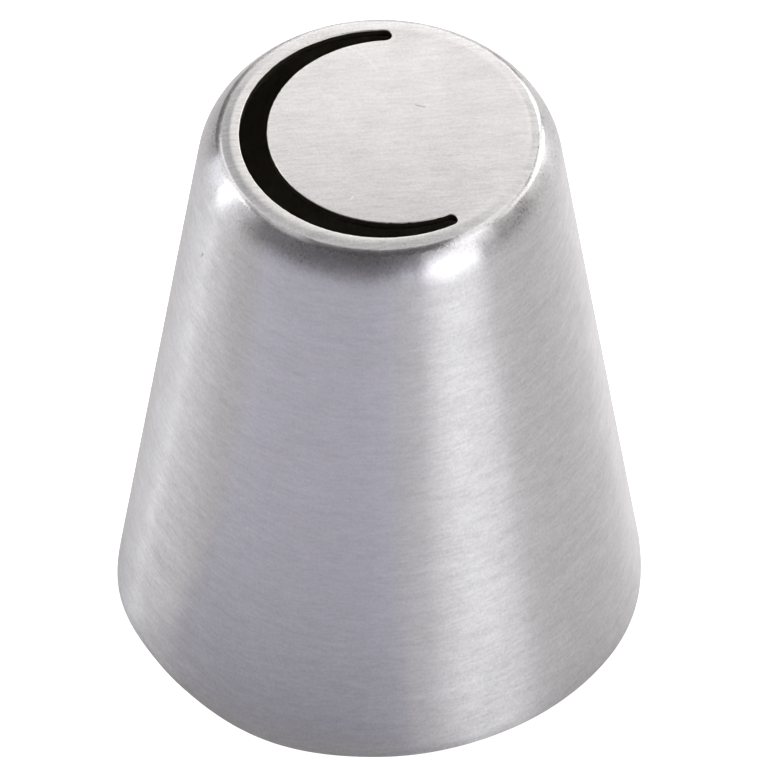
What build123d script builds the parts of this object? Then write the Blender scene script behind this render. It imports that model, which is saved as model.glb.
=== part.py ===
"""Crescent-slot piping nozzle: one seamless cup of stainless sheet, drawn to a cone and trimmed flat.

The open end stands on the XY plane, centred on the origin, and the closed tip points along +Z.
A crescent slot is pierced through the flat tip face. Its middle lies towards -X, and the part is
the same on both sides of the XZ plane. Lengths are in millimetres and angles in degrees.
"""

import os
from math import acos, atan2, cos, degrees, hypot, radians, sin

from build123d import *

# The drawn cup, measured on the outside.
base_diameter = 34.0
height = 39.6
tip_flat_diameter = 19.3
wall = 0.5

# The sheet turns twice round the punch between the tip face and the cone: a tight bend at the edge
# of the flat, and then a slower one over the shoulder.
edge_bend_inside = 0.2
edge_bend_turn = 44
shoulder_bend_inside = 3.4

# The deburred edges of the trimmed open end.
rim_chamfer = 0.12

# The crescent slot: its width, and the strip of flat that it leaves outside it, both in the middle
# of its length and at its two ends, and how far round the axis each end's centre is from the middle.
slot_middle_width = 1.6
slot_end_width = 0.8
slot_middle_land = 0.96
slot_end_land = 0.7
slot_half_span = 106
slot_edge_radius = 0.12

# How far a cutter runs past the sheet that it pierces.
cut_overrun = 1.0

# The straight cone runs from the base's outside corner, tangent to the shoulder bend. Its slope
# follows from where the centre of that bend is.
base_radius = base_diameter / 2
tip_flat_radius = tip_flat_diameter / 2
edge_radius = edge_bend_inside + wall
shoulder_radius = shoulder_bend_inside + wall
bend_step = shoulder_radius - edge_radius
reach_in = base_radius - tip_flat_radius + bend_step * sin(radians(edge_bend_turn))
reach_up = height - edge_radius - bend_step * cos(radians(edge_bend_turn))
cone_slope = degrees(acos(shoulder_radius / hypot(reach_in, reach_up)) - atan2(reach_up, reach_in))

# The slot is first drawn as a crescent with two sharp horns, which then grows all round by the
# radius of its ends.
slot_end_radius = slot_end_width / 2
slot_middle_outside = tip_flat_radius - slot_middle_land - slot_edge_radius
slot_middle_inside = slot_middle_outside - slot_middle_width
horn_radius = tip_flat_radius - slot_end_land - slot_edge_radius - slot_end_radius
horn_x = -horn_radius * cos(radians(slot_half_span))
horn_y = horn_radius * sin(radians(slot_half_span))


def draw_skin(depth):
    """One face of the sheet, that far below its outer face, from the axis down to the base plane."""
    tip_flat = Line((0, height - depth), (tip_flat_radius, height - depth))
    edge_bend = JernArc(tip_flat @ 1, tip_flat % 1, edge_radius - depth, -edge_bend_turn)
    shoulder_bend = JernArc(
        edge_bend @ 1,
        edge_bend % 1,
        shoulder_radius - depth,
        cone_slope + edge_bend_turn - 90,
    )
    foot = (base_radius - depth / cos(radians(cone_slope)), 0)
    Line(shoulder_bend @ 1, foot)
    return tip_flat @ 0, foot


with BuildPart() as nozzle_shell:
    # The drawn cup: the section of the sheet, with its rim trimmed level and deburred on both sides,
    # turned about the axis.
    with BuildSketch(Plane.XZ) as section:
        with BuildLine():
            outer_top, outer_foot = draw_skin(0)
            inner_top, inner_foot = draw_skin(wall)
            Line(outer_top, inner_top)
            Line(outer_foot, inner_foot)
        make_face()
        chamfer(section.vertices().group_by(Axis.Y)[0], rim_chamfer)
    revolve(axis=Axis.Z)

    # The crescent slot, pierced straight through the tip face.
    with BuildSketch(Plane.XY.offset(height + cut_overrun)):
        with BuildLine():
            for middle in (slot_middle_outside - slot_end_radius, slot_middle_inside + slot_end_radius):
                ThreePointArc((horn_x, horn_y), (-middle, 0), (horn_x, -horn_y))
        make_face()
        offset(amount=slot_end_radius)
    extrude(amount=-(wall + 2 * cut_overrun), mode=Mode.SUBTRACT)

    # The pierced edge on the outside, rubbed smooth.
    tip_face = nozzle_shell.faces().filter_by(Plane.XY).sort_by(Axis.Z)[-1]
    fillet(tip_face.inner_wires()[0].edges(), slot_edge_radius)

nozzle_shell.part.label = "nozzle_shell"

os.makedirs("parts", exist_ok=True)
export_step(nozzle_shell.part, "parts/nozzle_shell.step")

print("The cone leans", round(cone_slope, 2), "degrees from the axis.")
print("The outside measures", nozzle_shell.part.bounding_box().size)
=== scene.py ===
"""Looks of the crescent-slot piping nozzle: brushed stainless sheet, on a plain pale floor.

Lengths are in metres and angles in radians unless a comment says otherwise. The nozzle stands on
its open end at the origin, its tip points along +Z, and the middle of its slot lies towards -X.
"""

from math import acos, atan2, ceil, cos, hypot, pi, radians, sin, tan, tau

import bmesh
import bpy
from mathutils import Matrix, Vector, noise
from mathutils.geometry import delaunay_2d_cdt


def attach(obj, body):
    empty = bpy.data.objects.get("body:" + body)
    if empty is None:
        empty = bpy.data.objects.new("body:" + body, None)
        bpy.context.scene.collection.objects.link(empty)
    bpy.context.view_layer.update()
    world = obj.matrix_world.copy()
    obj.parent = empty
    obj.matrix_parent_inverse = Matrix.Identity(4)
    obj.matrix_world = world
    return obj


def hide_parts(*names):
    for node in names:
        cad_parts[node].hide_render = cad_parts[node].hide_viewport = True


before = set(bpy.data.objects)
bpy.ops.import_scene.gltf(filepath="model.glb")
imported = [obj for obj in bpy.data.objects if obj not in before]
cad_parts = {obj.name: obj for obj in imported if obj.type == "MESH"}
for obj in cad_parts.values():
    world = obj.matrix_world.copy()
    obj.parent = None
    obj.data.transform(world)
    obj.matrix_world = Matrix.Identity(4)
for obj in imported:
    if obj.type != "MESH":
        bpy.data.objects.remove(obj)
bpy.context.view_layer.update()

MM = 0.001

# The drawn cup, as in the CAD part.
BASE_RADIUS = 17.0 * MM
HEIGHT = 39.6 * MM
TIP_FLAT_RADIUS = 9.65 * MM
WALL = 0.5 * MM
EDGE_RADIUS = 0.2 * MM + WALL
EDGE_TURN = radians(44)
SHOULDER_RADIUS = 3.4 * MM + WALL
RIM_CHAMFER = 0.12 * MM

# How near the rim's softened edges come to the sharp corner: 0 is a flat chamfer.
RIM_FULLNESS = 0.7

# The crescent slot. Its outside edge is sharper than the CAD part's, and it is a little wider to
# open as far on the tip face.
SLOT_MIDDLE_WIDTH = 1.72 * MM
SLOT_END_RADIUS = 0.44 * MM
SLOT_MIDDLE_LAND = 0.93 * MM
SLOT_END_LAND = 0.68 * MM
SLOT_HALF_SPAN = radians(106)
SLOT_EDGE_RADIUS = 0.06 * MM

# How finely the skin is divided.
SEGMENTS = 384
MARGIN_ROWS = 10
EDGE_ROWS = 14
SHOULDER_ROWS = 20
CONE_ROWS = 48
INSIDE_CONE_ROWS = 24
RIM_ROWS = 4
SLOT_EDGE_ROWS = 5
SLOT_WALL_ROWS = 4
SLOT_STEP = 0.16 * MM
WELD = 0.002 * MM

# The triangulation's way to keep only what lies inside the edges that it is given.
INSIDE_OUTLINE = 1

# How far round from -Y the camera stands. The rim's bulges and the lights are placed from there.
CAMERA_TURN = radians(-14.16)

# The flat rolls off softly into its edge. Inside its margin it stands FLAT_LIFT above the true cup,
# and from the middle of the bend outwards the skin lies BEND_DROP below it. Both fade out down the
# shoulder, and are gone at the height of ROLL_FOOT.
FLAT_MARGIN = 0.65 * MM
FLAT_LIFT = 0.075 * MM
BEND_DROP = 0.04 * MM
BEND_MIDDLE = TIP_FLAT_RADIUS + 0.25 * MM
ROLL_FOOT = 0.8 * HEIGHT

# The trimmed rim isn't quite round. Each bulge has its middle and half its width, in degrees round
# from the camera's side and positive to the right, and how far it stands out. All fade out up the
# cone.
RIM_BULGES = ((-78, 22, 0.3 * MM), (-24, 26, 0.26 * MM), (24, 29, -0.13 * MM), (69, 26, 0.2 * MM))

# The slightly uneven surface of drawn and punched sheet. The waves fade out between two heights.
SKIN_WAVE = 0.012 * MM
SKIN_WAVE_LENGTH = 6.0 * MM
WAVE_FADE = 0.8 * HEIGHT, 0.9 * HEIGHT
NICK_DEPTH = 0.02 * MM
NICK_LENGTH = 0.35 * MM

# The slope of the cone follows from the two bends, as in the CAD part.
BEND_STEP = SHOULDER_RADIUS - EDGE_RADIUS
REACH_IN = BASE_RADIUS - TIP_FLAT_RADIUS + BEND_STEP * sin(EDGE_TURN)
REACH_UP = HEIGHT - EDGE_RADIUS - BEND_STEP * cos(EDGE_TURN)
CONE_SLOPE = acos(SHOULDER_RADIUS / hypot(REACH_IN, REACH_UP)) - atan2(REACH_UP, REACH_IN)
EDGE_CENTRE = (TIP_FLAT_RADIUS, HEIGHT - EDGE_RADIUS)
SHOULDER_CENTRE = (
    EDGE_CENTRE[0] - BEND_STEP * sin(EDGE_TURN),
    EDGE_CENTRE[1] - BEND_STEP * cos(EDGE_TURN),
)


def bend_point(centre, radius, turn):
    """The point of a bend whose skin has turned that far from level."""
    return centre[0] + radius * sin(turn), centre[1] + radius * cos(turn)


def steps(first, last, count):
    """That many equal steps from first to last, both included."""
    return [first + (last - first) * k / count for k in range(count + 1)]


def skin_profile(depth, cone_rows):
    """Radius and height down one face of the sheet, from the flat's margin to near the rim."""
    top = HEIGHT - depth
    margin = steps(1, 0, MARGIN_ROWS)[:-1]
    edge_turns = steps(0, EDGE_TURN, EDGE_ROWS)
    shoulder_turns = steps(EDGE_TURN, pi / 2 - CONE_SLOPE, SHOULDER_ROWS)[1:]
    points = [(TIP_FLAT_RADIUS - FLAT_MARGIN * share, top) for share in margin]
    points += [bend_point(EDGE_CENTRE, EDGE_RADIUS - depth, turn) for turn in edge_turns]
    points += [
        bend_point(SHOULDER_CENTRE, SHOULDER_RADIUS - depth, turn) for turn in shoulder_turns
    ]
    last = points[-1]
    foot = (BASE_RADIUS - depth / cos(CONE_SLOPE), 0)
    along = hypot(foot[0] - last[0], foot[1] - last[1])
    reach = 1 - RIM_CHAMFER / along
    points += [
        (last[0] + (foot[0] - last[0]) * share, last[1] + (foot[1] - last[1]) * share)
        for share in steps(0, reach, cone_rows)[1:]
    ]
    return points, foot


def rim_bend(start, corner, end):
    """A softened chamfer from start to end, which stays inside the sharp corner."""
    start, corner, end = Vector(start), Vector(corner), Vector(end)
    pull = ((start + end) / 2).lerp(corner, RIM_FULLNESS)
    return [
        tuple(start.lerp(pull, share).lerp(pull.lerp(end, share), share))
        for share in steps(0, 1, RIM_ROWS)
    ]


def sheet_section():
    """The closed-off section of the sheet, down the outside, round the rim and up the inside."""
    outside, outer_foot = skin_profile(0, CONE_ROWS)
    inside, inner_foot = skin_profile(WALL, INSIDE_CONE_ROWS)
    outer_land = (outer_foot[0] - RIM_CHAMFER, 0)
    inner_land = (inner_foot[0] + RIM_CHAMFER, 0)
    outer_rim = rim_bend(outside[-1], outer_foot, outer_land)[1:]
    inner_rim = rim_bend(inner_land, inner_foot, inside[-1])
    return outside + outer_rim + inner_rim + inside[::-1][1:]


def circle_through(end_x, end_y, middle):
    """Centre and radius of the arc from (end_x, end_y) through (-middle, 0) to (end_x, -end_y)."""
    centre = (end_x ** 2 + end_y ** 2 - middle ** 2) / (2 * (end_x + middle))
    return centre, centre + middle


# The crescent's horns, and the two arcs between them, before it grows by the radius of its ends.
SLOT_OUTSIDE = TIP_FLAT_RADIUS - SLOT_MIDDLE_LAND - SLOT_EDGE_RADIUS
SLOT_INSIDE = SLOT_OUTSIDE - SLOT_MIDDLE_WIDTH
HORN_RADIUS = TIP_FLAT_RADIUS - SLOT_END_LAND - SLOT_EDGE_RADIUS - SLOT_END_RADIUS
HORN_X = -HORN_RADIUS * cos(SLOT_HALF_SPAN)
HORN_Y = HORN_RADIUS * sin(SLOT_HALF_SPAN)
OUTER_ARC = circle_through(HORN_X, HORN_Y, SLOT_OUTSIDE - SLOT_END_RADIUS)
INNER_ARC = circle_through(HORN_X, HORN_Y, SLOT_INSIDE + SLOT_END_RADIUS)


def arc_angles(first, last, radius):
    """Angles from first to last, at about the slot's own step."""
    return steps(first, last, ceil(abs(last - first) * radius / SLOT_STEP))


def slot_outline():
    """The slot's outline: each point, and its unit normal away from the opening."""
    outer_end = atan2(HORN_Y, HORN_X - OUTER_ARC[0])
    inner_end = atan2(HORN_Y, HORN_X - INNER_ARC[0])
    outline = []
    centre, radius = OUTER_ARC
    for angle in arc_angles(outer_end, tau - outer_end, radius)[:-1]:
        normal = (cos(angle), sin(angle))
        outline.append(((centre + radius * normal[0], radius * normal[1]), normal))
    for angle in arc_angles(-outer_end, pi - inner_end, SLOT_END_RADIUS)[:-1]:
        outline.append(((HORN_X, -HORN_Y), (cos(angle), sin(angle))))
    centre, radius = INNER_ARC
    for angle in arc_angles(-inner_end, inner_end - tau, radius)[:-1]:
        place = (centre + radius * cos(angle), radius * sin(angle))
        outline.append((place, (-cos(angle), -sin(angle))))
    for angle in arc_angles(inner_end - pi, outer_end, SLOT_END_RADIUS)[:-1]:
        outline.append(((HORN_X, HORN_Y), (cos(angle), sin(angle))))
    return outline


def rough_edge(place):
    """How far a punched edge strays from its line there."""
    return NICK_DEPTH * noise.noise(Vector((place[0], place[1], 0)) / NICK_LENGTH)


def slot_ring(outline, grow, height, roughness):
    """The slot's outline grown by that much, at that height."""
    ring = []
    for place, normal in outline:
        out = SLOT_END_RADIUS + grow + roughness * rough_edge(place)
        ring.append((place[0] + normal[0] * out, place[1] + normal[1] * out, height))
    return ring


def turned_ring(radius, height):
    """A ring of points round the axis."""
    return [
        (radius * cos(tau * k / SEGMENTS), radius * sin(tau * k / SEGMENTS), height)
        for k in range(SEGMENTS)
    ]


def add_band(mesh, upper, lower, material):
    """Quads between two rings of as many points, facing outwards where upper is the higher ring."""
    above = [mesh.verts.new(point) for point in upper] if isinstance(upper[0], tuple) else upper
    below = [mesh.verts.new(point) for point in lower]
    for k in range(len(above)):
        after = (k + 1) % len(above)
        face = mesh.faces.new((above[k], below[k], below[after], above[after]))
        face.material_index = material
        face.smooth = True
    return below


def inside_outline(point, ring):
    """Whether the point lies inside the closed ring."""
    x, y = point
    hit = False
    for k in range(len(ring)):
        x1, y1 = ring[k][:2]
        x2, y2 = ring[k - 1][:2]
        if (y1 > y) != (y2 > y) and x < (x2 - x1) * (y - y1) / (y2 - y1) + x1:
            hit = not hit
    return hit


def add_flat(mesh, rim, hole, height, upward, material):
    """The flat disc between the rim and the hole of the slot."""
    points = [Vector(point[:2]) for point in rim + hole]
    split = len(rim)
    edges = [(k, (k + 1) % split) for k in range(split)]
    edges += [(split + k, split + (k + 1) % len(hole)) for k in range(len(hole))]
    found, _, triangles, *_ = delaunay_2d_cdt(points, edges, [], INSIDE_OUTLINE, WELD / 4)
    verts = [mesh.verts.new((point.x, point.y, height)) for point in found]
    for triangle in triangles:
        middle = sum((found[k] for k in triangle), Vector((0, 0))) / len(triangle)
        if inside_outline(middle, hole):
            continue
        face = mesh.faces.new([verts[k] for k in triangle])
        face.normal_update()
        if (face.normal.z > 0) != upward:
            face.normal_flip()
        face.material_index = material
        face.smooth = True


def smooth_step(value, start, end):
    """0 before start, 1 after end, and smooth between."""
    share = min(max((value - start) / (end - start), 0), 1)
    return share * share * (3 - 2 * share)


def rim_offset(azimuth):
    """How far the rim stands out there, from the bulges."""
    offset = 0
    for middle, half_width, height in RIM_BULGES:
        away = (azimuth - radians(middle) + pi) % tau - pi
        if abs(away) < radians(half_width):
            offset += height * cos(pi / 2 * away / radians(half_width)) ** 2
    return offset


def worked_point(point):
    """Where a point of the true cup ends up on the slightly uneven nozzle."""
    radius = max(hypot(point.x, point.y), WELD)
    rolled = smooth_step(radius, TIP_FLAT_RADIUS - FLAT_MARGIN, BEND_MIDDLE)
    near_tip = smooth_step(point.z, ROLL_FOOT, HEIGHT - WALL)
    rise = (FLAT_LIFT - (FLAT_LIFT + BEND_DROP) * rolled) * near_tip
    azimuth = atan2(point.y, point.x) - CAMERA_TURN + pi / 2
    bulge = rim_offset(azimuth) * max(1 - point.z / SHOULDER_CENTRE[1], 0)
    wave = SKIN_WAVE * noise.noise(point / SKIN_WAVE_LENGTH)
    wave *= 1 - smooth_step(point.z, *WAVE_FADE)
    grow = 1 + (bulge + wave) / radius
    return Vector((point.x * grow, point.y * grow, point.z + rise))


# The materials' places on the mesh.
OUTSIDE, SLOT_EDGE, INSIDE, SLOT_WALL = range(4)


def add_skin(mesh):
    """The sheet turned about the axis, and its first and last rings, at the margins of the flats."""
    rings = [turned_ring(*point) for point in sheet_section()]
    outside_rows = MARGIN_ROWS + EDGE_ROWS + SHOULDER_ROWS + CONE_ROWS + 2 * RIM_ROWS
    upper = rings[0]
    for row, lower in enumerate(rings[1:]):
        upper = add_band(mesh, upper, lower, OUTSIDE if row <= outside_rows else INSIDE)
    return rings[0], rings[-1]


def add_slot(mesh):
    """The slot's rounded edge and its walls, and the two outlines where they meet the flats."""
    outline = slot_outline()
    edge = [
        slot_ring(
            outline,
            SLOT_EDGE_RADIUS * (1 - sin(turn)),
            HEIGHT - SLOT_EDGE_RADIUS * (1 - cos(turn)),
            sin(turn),
        )
        for turn in steps(0, pi / 2, SLOT_EDGE_ROWS)
    ]
    wall_heights = steps(HEIGHT - SLOT_EDGE_RADIUS, HEIGHT - WALL, SLOT_WALL_ROWS)[1:]
    walls = [slot_ring(outline, 0, height, 1) for height in wall_heights]
    upper = [mesh.verts.new(point) for point in edge[0]]
    for lower in edge[1:]:
        upper = add_band(mesh, upper, lower, SLOT_EDGE)
    for lower in walls:
        upper = add_band(mesh, upper, lower, SLOT_WALL)
    return edge[0], walls[-1]


def nozzle_mesh():
    """The whole nozzle as one closed mesh."""
    mesh = bmesh.new()
    outer_margin, inner_margin = add_skin(mesh)
    outer_slot, inner_slot = add_slot(mesh)
    add_flat(mesh, outer_margin, outer_slot, HEIGHT, True, OUTSIDE)
    add_flat(mesh, inner_margin, inner_slot, HEIGHT - WALL, False, INSIDE)
    bmesh.ops.remove_doubles(mesh, verts=mesh.verts, dist=WELD)
    for vert in mesh.verts:
        vert.co = worked_point(vert.co)
    bmesh.ops.recalc_face_normals(mesh, faces=mesh.faces)

    data = bpy.data.meshes.new("nozzle_body")
    mesh.to_mesh(data)
    open_edges = sum(1 for e in mesh.edges if len(e.link_faces) != 2)
    print("nozzle_body faces", len(mesh.faces), "open edges", open_edges)
    mesh.free()
    return data


def node(tree, kind, inputs=(), **settings):
    """A new node with those settings. Each input is a value, or another node's output to link."""
    new = tree.nodes.new(kind)
    for name, value in settings.items():
        setattr(new, name, value)
    for key, value in dict(inputs).items():
        if isinstance(value, bpy.types.NodeSocket):
            tree.links.new(value, new.inputs[key])
        else:
            new.inputs[key].default_value = value
    return new


def maths(tree, operation, first, second=0.0, third=0.0):
    """The result of a sum on up to three numbers."""
    made = node(tree, "ShaderNodeMath", {0: first, 1: second, 2: third}, operation=operation)
    return made.outputs[0]


def vectors(tree, operation, first, second=(0, 0, 0), third=(0, 0, 0), output=0):
    """The result of a sum on up to three vectors. Its output 1 is a number, such as a length."""
    made = node(tree, "ShaderNodeVectorMath", {0: first, 1: second, 2: third}, operation=operation)
    return made.outputs[output]


def fade(tree, value, start, end):
    """0 where the value is at start, 1 where it is at end, and smooth between."""
    made = node(
        tree,
        "ShaderNodeMapRange",
        {"Value": value, "From Min": start, "From Max": end},
        interpolation_type="SMOOTHSTEP",
    )
    return made.outputs["Result"]


def blend_vectors(tree, share, first, second):
    """first where the share is 0, second where it is 1."""
    made = node(tree, "ShaderNodeMix", {0: share, 4: first, 5: second}, data_type="VECTOR")
    return made.outputs[1]


def blend_numbers(tree, share, first, second):
    """first where the share is 0, second where it is 1."""
    made = node(tree, "ShaderNodeMix", {0: share, 2: first, 3: second}, data_type="FLOAT")
    return made.outputs[0]


def millimetres(tree):
    """The place on the nozzle, in millimetres."""
    place = node(tree, "ShaderNodeTexCoord").outputs["Object"]
    return vectors(tree, "MULTIPLY", place, (1 / MM, 1 / MM, 1 / MM))


def noise_at(tree, place, stretch, offset, detail):
    """Noise about 0, with so many lumps to the millimetre along each axis."""
    scaled = vectors(tree, "MULTIPLY_ADD", place, stretch, offset)
    made = node(tree, "ShaderNodeTexNoise", {"Vector": scaled, "Scale": 1.0, "Detail": detail})
    return maths(tree, "SUBTRACT", made.outputs["Fac"], 0.5)


# The steel's colour, and how widely the finish scatters light, as the mean of the scatter along the
# brushed lines and across them.
STEEL = (0.668, 0.656, 0.666)
CONE_SCATTER = 0.13
SHOULDER_SCATTER = 0.09
EDGE_SCATTER = 0.045
FLAT_SCATTER = 0.125
LINE_STRENGTH = 0.95

# The lines on the tip face run that far round from +X.
FLAT_LINES = radians(-8)

# Where one finish gives way to the next, in millimetres: the flat to its edge and the edge to the
# shoulder by the distance from the axis, and the shoulder to the cone by the height.
FLAT_TO_EDGE = [TIP_FLAT_RADIUS / MM + past for past in (-0.05, 0.2)]
EDGE_TO_SHOULDER = [TIP_FLAT_RADIUS / MM + past for past in (0.25, 0.6)]
SHOULDER_TO_CONE = (38.4, 37.2)

# The fine texture is made of layers of noise: so many lumps to the millimetre along x, y and z, an
# offset so that no two layers agree, and the detail. Lines are layers with far fewer lumps along
# the brushing than across it.
RINGS = (1.2, 1.2, 4.8), (0, 0, 0), 2.0
WIDE_RINGS = (0.3, 0.3, 1.8), (7, 3, 5), 2.0
CROSSING_RINGS = (1.0, 1.0, 5.0), (2, 9, 4), 2.0
CROSSING_LEAN = radians(14)
LINES = (0.9, 5.5, 1.0), (0, 0, 0), 2.0
WIDE_LINES = (0.25, 1.6, 1.0), (4, 8, 2), 2.0
GRAIN = (6.5, 6.5, 4.8), (0, 0, 0), 2.0
LUMPS = (2.6, 2.6, 2.6), (5, 1, 8), 2.0
MOTTLE = (0.45, 0.45, 0.45), (1, 2, 3), 3.0

# How strong each layer is in each finish.
CONE_TEXTURE = {"rings": 0.55, "wide_rings": 0.45, "crossing": 0.35, "grain": 0.75}
FLAT_TEXTURE = {"lines": 1.2, "wide_lines": 0.7, "grain": 1.2}
SHOULDER_TEXTURE = {"grain": 1.3, "lumps": 0.35}

# How far the texture and the broad mottle change the shade and the roughness, and how deep the
# texture looks.
TEXTURE_SHADE = 0.5
MOTTLE_SHADE = 0.12
TEXTURE_ROUGHNESS = 0.08
MOTTLE_ROUGHNESS = 0.08
TEXTURE_DEPTH = 0.0035 * MM

# Small scratches and ticks in the steel, in millimetres: both ends, half the width, and how much
# lighter or darker the steel is there. The middle MARK_CORE of a mark has all of that, and FACE is
# the height of the tip face.
MARK_CORE = 1 / 3
FACE = 39.66
MARKS = (
    ((-0.12, 7.70, FACE), (0.74, 6.65, FACE), 0.08, 0.12),
    ((0.74, 6.65, FACE), (1.17, 5.15, FACE), 0.08, 0.12),
    ((2.70, 1.79, FACE), (3.21, 1.48, FACE), 0.07, -0.5),
    ((8.9, 3.54, FACE), (9.8, 3.45, 39.62), 0.06, 0.2),
    ((-3.1, -5.0, FACE), (-2.95, -4.85, FACE), 0.1, 0.3),
    ((-10.95, -9.5, 16.5), (-10.9, -9.55, 16.1), 0.12, 0.3),
    ((-11.7, -1.75, 33.7), (-11.75, -1.6, 33.3), 0.1, -0.4),
    ((-2.25, -12.3, 29.6), (-1.15, -12.45, 29.5), 0.08, 0.2),
)

# The inside, with lines along the cone.
INSIDE_STEEL = (0.66, 0.6, 0.53)
INSIDE_ROUGHNESS = 0.45
INSIDE_LINES = (4.0, 4.0, 0.3), (0, 0, 0), 2.0
INSIDE_MOTTLE = (0.5, 0.5, 0.5), (3, 6, 1), 3.0
INSIDE_MOTTLE_SHARE = 0.6
INSIDE_SHADE = 0.3
INSIDE_ROUGHNESS_CHANGE = 0.15
INSIDE_DEPTH = 0.005 * MM

# The punched walls of the slot, with painted shade, and its rubbed outside edge, with a painted
# highlight.
# The walls' colour is far darker than the steel: painted shade inside the slot.
WALL_SHADED_STEEL = (0.13, 0.115, 0.1)
WALL_ROUGHNESS = 0.6
# The edge is rubbed smoother, and its colour is lighter than the steel's: a painted highlight.
EDGE_STEEL_AND_HIGHLIGHT = (0.8, 0.76, 0.68)
EDGE_ROUGHNESS = 0.32
NICKS = (5.0, 5.0, 2.0), (8, 2, 6), 3.0
NICKS_SHADE = 0.5
NICKS_ROUGHNESS = 0.3
NICKS_DEPTH = 0.01 * MM


def new_material(name):
    """A new material and its emptied node tree."""
    material = bpy.data.materials.new(name)
    material.use_nodes = True
    tree = material.node_tree
    tree.nodes.clear()
    return material, tree


def finish_material(tree, shader):
    """Links the shader to the material's output."""
    node(tree, "ShaderNodeOutputMaterial", {"Surface": shader.outputs[0]})


def add_up(tree, terms):
    """The sum of each number times its share."""
    total = maths(tree, "MULTIPLY", *terms[0])
    for value, share in terms[1:]:
        total = maths(tree, "MULTIPLY_ADD", value, share, total)
    return total


def mixed(tree, layers, shares):
    """The named layers, each times its share, added up."""
    return add_up(tree, [(layers[name], share) for name, share in shares.items()])


def shaded(tree, colour, share, strength):
    """The colour, made lighter or darker by the share."""
    shade = maths(tree, "MULTIPLY_ADD", share, strength, 1.0)
    return vectors(tree, "MULTIPLY", colour, grey(tree, shade))


def grey(tree, value):
    """The value as a vector of three equal parts."""
    return node(tree, "ShaderNodeCombineXYZ", {0: value, 1: value, 2: value}).outputs[0]


def mark_share(tree, place, start, end, width, share):
    """How much a thin straight mark from start to end lightens the steel there, or darkens it."""
    start, end = Vector(start), Vector(end)
    along = end - start
    offset = vectors(tree, "SUBTRACT", place, tuple(start))
    run = vectors(tree, "DOT_PRODUCT", offset, tuple(along / along.length_squared), output=1)
    run = maths(tree, "MAXIMUM", maths(tree, "MINIMUM", run, 1.0), 0.0)
    nearest = vectors(tree, "MULTIPLY", tuple(along), grey(tree, run))
    distance = vectors(tree, "LENGTH", vectors(tree, "SUBTRACT", offset, nearest), output=1)
    return maths(tree, "MULTIPLY", fade(tree, distance, width, width * MARK_CORE), share)


def rotated(tree, place, angle, axis):
    """The place, turned about an axis through the origin."""
    inputs = {"Vector": place, "Angle": angle}
    return node(tree, "ShaderNodeVectorRotate", inputs, rotation_type=axis).outputs[0]


def texture_layers(tree, place):
    """The layers of the outside's fine texture, by name."""
    leaning = rotated(tree, place, CROSSING_LEAN, "Y_AXIS")
    turned = rotated(tree, place, -FLAT_LINES, "Z_AXIS")
    return {
        "rings": noise_at(tree, place, *RINGS),
        "wide_rings": noise_at(tree, place, *WIDE_RINGS),
        "crossing": noise_at(tree, leaning, *CROSSING_RINGS),
        "lines": noise_at(tree, turned, *LINES),
        "wide_lines": noise_at(tree, turned, *WIDE_LINES),
        "grain": noise_at(tree, place, *GRAIN),
        "lumps": noise_at(tree, place, *LUMPS),
    }


def outside_material():
    """The brushed outside: straight lines on the tip face, rings on the cone, grain between."""
    material, tree = new_material("brushed_outside")
    place = millimetres(tree)
    height = node(tree, "ShaderNodeSeparateXYZ", {0: place}).outputs["Z"]
    axis_distance = vectors(tree, "LENGTH", vectors(tree, "MULTIPLY", place, (1, 1, 0)), output=1)
    off_flat = fade(tree, axis_distance, *FLAT_TO_EDGE)
    past_edge = fade(tree, axis_distance, *EDGE_TO_SHOULDER)
    on_cone = fade(tree, height, *SHOULDER_TO_CONE)
    on_shoulder = maths(tree, "SUBTRACT", past_edge, on_cone)

    layers = texture_layers(tree, place)
    mottle = noise_at(tree, place, *MOTTLE)
    texture = blend_numbers(
        tree, off_flat, mixed(tree, layers, FLAT_TEXTURE), mixed(tree, layers, CONE_TEXTURE)
    )
    texture = blend_numbers(tree, on_shoulder, texture, mixed(tree, layers, SHOULDER_TEXTURE))

    scatter = blend_numbers(tree, off_flat, FLAT_SCATTER, EDGE_SCATTER)
    scatter = blend_numbers(tree, past_edge, scatter, SHOULDER_SCATTER)
    scatter = blend_numbers(tree, on_cone, scatter, CONE_SCATTER)
    roughness = add_up(
        tree,
        [
            (maths(tree, "SQRT", scatter), 1.0),
            (mottle, MOTTLE_ROUGHNESS),
            (texture, TEXTURE_ROUGHNESS),
        ],
    )
    share = add_up(tree, [(texture, TEXTURE_SHADE), (mottle, MOTTLE_SHADE)])
    for mark in MARKS:
        share = maths(tree, "ADD", share, mark_share(tree, place, *mark))
    tangent = blend_vectors(tree, off_flat, (-sin(FLAT_LINES), cos(FLAT_LINES), 0), (0, 0, 1))
    bump = node(tree, "ShaderNodeBump", {"Height": texture, "Distance": TEXTURE_DEPTH})
    shader = node(
        tree,
        "ShaderNodeBsdfPrincipled",
        {
            "Base Color": shaded(tree, STEEL, share, 1.0),
            "Metallic": 1.0,
            "Roughness": roughness,
            "Anisotropic": LINE_STRENGTH,
            "Tangent": tangent,
            "Normal": bump.outputs[0],
        },
    )
    finish_material(tree, shader)
    return material


def inner_material():
    """The inside, left as it was drawn: duller and darker, with lines along the cone."""
    material, tree = new_material("drawn_inside")
    place = millimetres(tree)
    lines = noise_at(tree, place, *INSIDE_LINES)
    mottle = noise_at(tree, place, *INSIDE_MOTTLE)
    texture = add_up(tree, [(lines, 1.0), (mottle, INSIDE_MOTTLE_SHARE)])
    bump = node(tree, "ShaderNodeBump", {"Height": texture, "Distance": INSIDE_DEPTH})
    shader = node(
        tree,
        "ShaderNodeBsdfPrincipled",
        {
            "Base Color": shaded(tree, INSIDE_STEEL, texture, INSIDE_SHADE),
            "Metallic": 1.0,
            "Roughness": add_up(tree, [(texture, INSIDE_ROUGHNESS_CHANGE), (INSIDE_ROUGHNESS, 1.0)]),
            "Normal": bump.outputs[0],
        },
    )
    finish_material(tree, shader)
    return material


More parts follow.
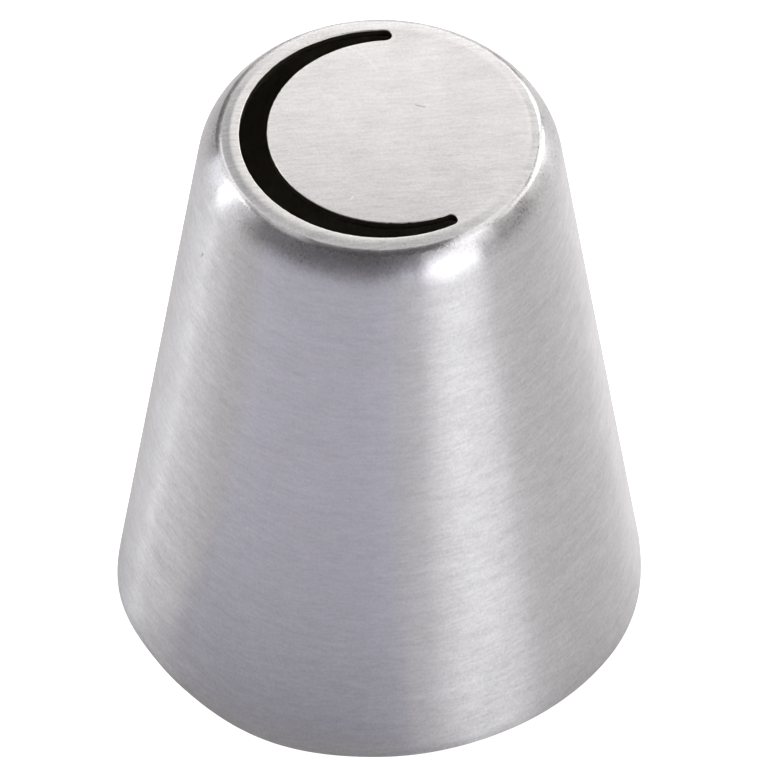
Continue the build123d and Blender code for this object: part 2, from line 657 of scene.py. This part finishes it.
def punched_material(name, colour, dullness):
    """A punched edge, with fine nicks."""
    material, tree = new_material(name)
    place = millimetres(tree)
    nicks = noise_at(tree, place, *NICKS)
    bump = node(tree, "ShaderNodeBump", {"Height": nicks, "Distance": NICKS_DEPTH})
    shader = node(
        tree,
        "ShaderNodeBsdfPrincipled",
        {
            "Base Color": shaded(tree, colour, nicks, NICKS_SHADE),
            "Metallic": 1.0,
            "Roughness": add_up(tree, [(nicks, NICKS_ROUGHNESS), (dullness, 1.0)]),
            "Normal": bump.outputs[0],
        },
    )
    finish_material(tree, shader)
    return material


# The floor. Its glow is seen by the camera alone, and lifts it to the white of a clean backdrop. It
# doesn't glow inside the nozzle.
FLOOR_SIZE = 6.0
FLOOR_WHITE = (0.72, 0.72, 0.72, 1.0)
FLOOR_GLOW = 0.9


def add_floor():
    """A plain pale floor."""
    data = bpy.data.meshes.new("floor")
    half = FLOOR_SIZE / 2
    corners = [(-half, -half, 0), (half, -half, 0), (half, half, 0), (-half, half, 0)]
    data.from_pydata(corners, [], [(0, 1, 2, 3)])
    floor = bpy.data.objects.new("floor", data)
    bpy.context.scene.collection.objects.link(floor)
    material, tree = new_material("pale_floor")
    seen = node(tree, "ShaderNodeLightPath").outputs["Is Camera Ray"]
    place = node(tree, "ShaderNodeTexCoord").outputs["Object"]
    axis_distance = vectors(tree, "LENGTH", place, output=1)
    outside = fade(tree, axis_distance, BASE_RADIUS - 2 * WALL, BASE_RADIUS)
    glow = maths(tree, "MULTIPLY", maths(tree, "MULTIPLY", seen, outside), FLOOR_GLOW)
    shader = node(
        tree,
        "ShaderNodeBsdfPrincipled",
        {
            "Base Color": FLOOR_WHITE,
            "Roughness": 1.0,
            "Specular IOR Level": 0.0,
            "Emission Color": (1, 1, 1, 1),
            "Emission Strength": glow,
        },
    )
    finish_material(tree, shader)
    data.materials.append(material)


# The camera looks down at the tip through a long lens. BASE_IN_CAMERA is where the middle of the
# base lies from it: to the right, down and ahead.
CAMERA_RISE = radians(47.79)
CAMERA_LENS = 349.18
CAMERA_SENSOR = 36.0
CAMERA_REACH = 10.0
BASE_IN_CAMERA = Vector((-0.2303, 11.252, 486.4)) * MM

RIGHT = Vector((cos(CAMERA_TURN), sin(CAMERA_TURN), 0))
TOWARD = Vector((sin(CAMERA_TURN), -cos(CAMERA_TURN), 0))


def add_camera():
    """The photograph's view, through a long lens."""
    back = TOWARD * cos(CAMERA_RISE) + Vector((0, 0, sin(CAMERA_RISE)))
    up = back.cross(RIGHT)
    camera = bpy.data.cameras.new("camera")
    camera.lens = CAMERA_LENS
    camera.sensor_width = CAMERA_SENSOR
    camera.clip_end = CAMERA_REACH
    item = bpy.data.objects.new("camera", camera)
    bpy.context.scene.collection.objects.link(item)
    base = BASE_IN_CAMERA
    item.location = back * base.z + up * base.y - RIGHT * base.x
    item.rotation_euler = back.to_track_quat("Z", "Y").to_euler()
    bpy.context.scene.camera = item


# The studio's soft boxes, by name: azimuth and half the width, elevation and half the height, in
# degrees, brightness and colour. Azimuths run from the camera's side, positive to the right.
SOFT_BOXES = {
    "key_edge": (17, 6, 6, 6, 1.0, (0.96, 0.97, 1.12)),
    "key_left": (28, 5, 6, 6, 3.0, (0.97, 0.98, 1.06)),
    "key_middle": (38, 5, 6, 6, 4.1, (0.97, 1, 1.05)),
    "key_right": (50, 7, 6, 6, 3.45, (0.98, 1, 1.03)),
    "key_upper": (37, 10, 18, 6, 2.4, (1, 1, 0.98)),
    "key_top": (63, 14, 38, 12, 1.6, (1.02, 1, 1)),
    "right_panel": (113, 11, 34, 16, 1.22, (1.04, 1, 0.97)),
    "right_front_panel": (91, 9, 38, 8, 1.1, (1.02, 1, 0.98)),
    "right_back_panel": (131, 10, 26, 14, 2.65, (1, 1, 1)),
    "right_edge_panel": (152, 6, 24, 12, 1.8, (1, 1, 1)),
    "left_back_panel": (-124, 8, 34, 14, 0.85, (1, 1, 1)),
    "left_panel": (-107, 7, 30, 14, 2.6, (1, 1, 1)),
    "left_front_panel": (-88, 6, 28, 8, 0.8, (1, 1, 1)),
    "left_back_ceiling": (-149, 12, 46, 9, 1.0, (1, 1, 1)),
    "left_low_back": (-117, 7, 7, 7, 1.4, (0.95, 1, 1.08)),
    "left_low_middle": (-104, 4, 7, 7, 3.4, (0.96, 1, 1.06)),
    "left_low_front": (-92, 6, 7, 7, 0.8, (1, 1, 1)),
    "front_right_panel": (8, 8, 6, 6, 0.4, (0.97, 0.97, 1.15)),
    "back_low": (178, 12, 10, 10, 0.45, (1, 1, 1)),
    "back_panel": (178, 18, 36, 16, 1.9, (1.02, 1, 0.96)),
    "back_ceiling": (178, 26, 60, 8, 0.75, (1, 1, 1)),
    "right_ceiling": (104, 38, 62, 9, 0.85, (1, 1, 1)),
    "left_ceiling": (-110, 40, 62, 9, 0.35, (1, 1, 1)),
}
OVERHEAD_SIZE = 1.2
OVERHEAD_BRIGHTNESS = 1.36
OVERHEAD_RISE = radians(80)
BOX_DISTANCE = 1.2
BOXES_AIM = 0.7 * HEIGHT
ROOM_GREY = (0.1, 0.095, 0.1, 1)
BACKDROP = (1, 1, 1, 1)


def add_softbox(name, azimuth, half_width, elevation, half_height, brightness, colour):
    """One soft box, which faces the tip."""
    level = TOWARD * cos(radians(azimuth)) + RIGHT * sin(radians(azimuth))
    away = level * cos(radians(elevation)) + Vector((0, 0, sin(radians(elevation))))
    light = bpy.data.lights.new(name, "AREA")
    light.shape = "RECTANGLE"
    light.size = 2 * BOX_DISTANCE * tan(radians(half_width)) * cos(radians(elevation))
    light.size_y = 2 * BOX_DISTANCE * tan(radians(half_height))
    light.energy = 4 * brightness * light.size * light.size_y
    light.color = colour
    box = bpy.data.objects.new(name, light)
    box.location = away * BOX_DISTANCE + Vector((0, 0, BOXES_AIM))
    box.rotation_euler = away.to_track_quat("Z", "Y").to_euler()
    box.visible_camera = False
    bpy.context.scene.collection.objects.link(box)


def add_overhead():
    """A large soft light overhead, which lights the floor and isn't mirrored in the steel."""
    light = bpy.data.lights.new("overhead", "AREA")
    light.size = OVERHEAD_SIZE
    light.energy = 4 * OVERHEAD_BRIGHTNESS * OVERHEAD_SIZE ** 2
    box = bpy.data.objects.new("overhead", light)
    away = -TOWARD * cos(OVERHEAD_RISE) + Vector((0, 0, sin(OVERHEAD_RISE)))
    box.location = away * BOX_DISTANCE
    box.rotation_euler = away.to_track_quat("Z", "Y").to_euler()
    box.visible_camera = False
    box.visible_glossy = False
    bpy.context.scene.collection.objects.link(box)


def add_room():
    """A dim room round the soft boxes. The camera sees a pale backdrop in its place."""
    world = bpy.data.worlds.new("room")
    world.use_nodes = True
    tree = world.node_tree
    tree.nodes.clear()
    dim = node(tree, "ShaderNodeBackground", {"Color": ROOM_GREY})
    pale = node(tree, "ShaderNodeBackground", {"Color": BACKDROP})
    seen = node(tree, "ShaderNodeLightPath").outputs["Is Camera Ray"]
    mixed = node(tree, "ShaderNodeMixShader", {0: seen, 1: dim.outputs[0], 2: pale.outputs[0]})
    node(tree, "ShaderNodeOutputWorld", {"Surface": mixed.outputs[0]})
    bpy.context.scene.world = world


# A pale blue card lies on the floor in front, from one azimuth to another, in degrees, and from its
# near to its far distance from the axis. Only the steel sees it, in place of the floor.
CARD_FROM, CARD_TO = -68, 8
CARD_NEAR, CARD_FAR = 0.019, 0.3
CARD_RISE = 0.1 * MM
CARD_STEPS = 24
# Near the nozzle the card is darker: painted shade of the floor round the nozzle's foot.
CARD_NEAR_SHADED_BLUE = (0.56, 0.56, 0.64)
CARD_FAR_BLUE = (0.84, 0.84, 0.95)
CARD_FADE = 0.06


def add_card():
    """The pale blue card, with painted shade near the nozzle, unseen by the camera and the floor."""
    points = []
    for azimuth in steps(CARD_FROM, CARD_TO, CARD_STEPS):
        away = TOWARD * cos(radians(azimuth)) + RIGHT * sin(radians(azimuth))
        points += [(away * reach + Vector((0, 0, CARD_RISE)))[:] for reach in (CARD_NEAR, CARD_FAR)]
    faces = [(2 * k, 2 * k + 1, 2 * k + 3, 2 * k + 2) for k in range(CARD_STEPS)]
    data = bpy.data.meshes.new("blue_card")
    data.from_pydata(points, [], faces)
    material, tree = new_material("card_blue")
    place = node(tree, "ShaderNodeTexCoord").outputs["Object"]
    far = fade(tree, vectors(tree, "LENGTH", place, output=1), CARD_NEAR, CARD_FADE)
    colour = blend_vectors(tree, far, CARD_NEAR_SHADED_BLUE, CARD_FAR_BLUE)
    finish_material(tree, node(tree, "ShaderNodeBsdfDiffuse", {"Color": colour}))
    data.materials.append(material)
    card = bpy.data.objects.new("blue_card", data)
    card.visible_camera = False
    card.visible_diffuse = False
    card.visible_shadow = False
    bpy.context.scene.collection.objects.link(card)


def add_nozzle():
    """The nozzle itself, in place of its plain solid."""
    body = bpy.data.objects.new("nozzle_body", nozzle_mesh())
    bpy.context.scene.collection.objects.link(body)
    # In the order of OUTSIDE, SLOT_EDGE, INSIDE and SLOT_WALL.
    for material in (
        outside_material(),
        # The slot's outside edge, with a painted highlight in its colour.
        punched_material("punched_edge_and_highlight", EDGE_STEEL_AND_HIGHLIGHT, EDGE_ROUGHNESS),
        inner_material(),
        # The slot's walls, with painted shade in their colour.
        punched_material("punched_wall_painted_shade", WALL_SHADED_STEEL, WALL_ROUGHNESS),
    ):
        body.data.materials.append(material)
    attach(body, "root")
    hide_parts("nozzle_shell")


add_floor()
add_camera()
add_room()
add_card()
for name, box in SOFT_BOXES.items():
    add_softbox(name, *box)
add_overhead()

add_nozzle()
bpy.context.scene.view_settings.view_transform = "Standard"
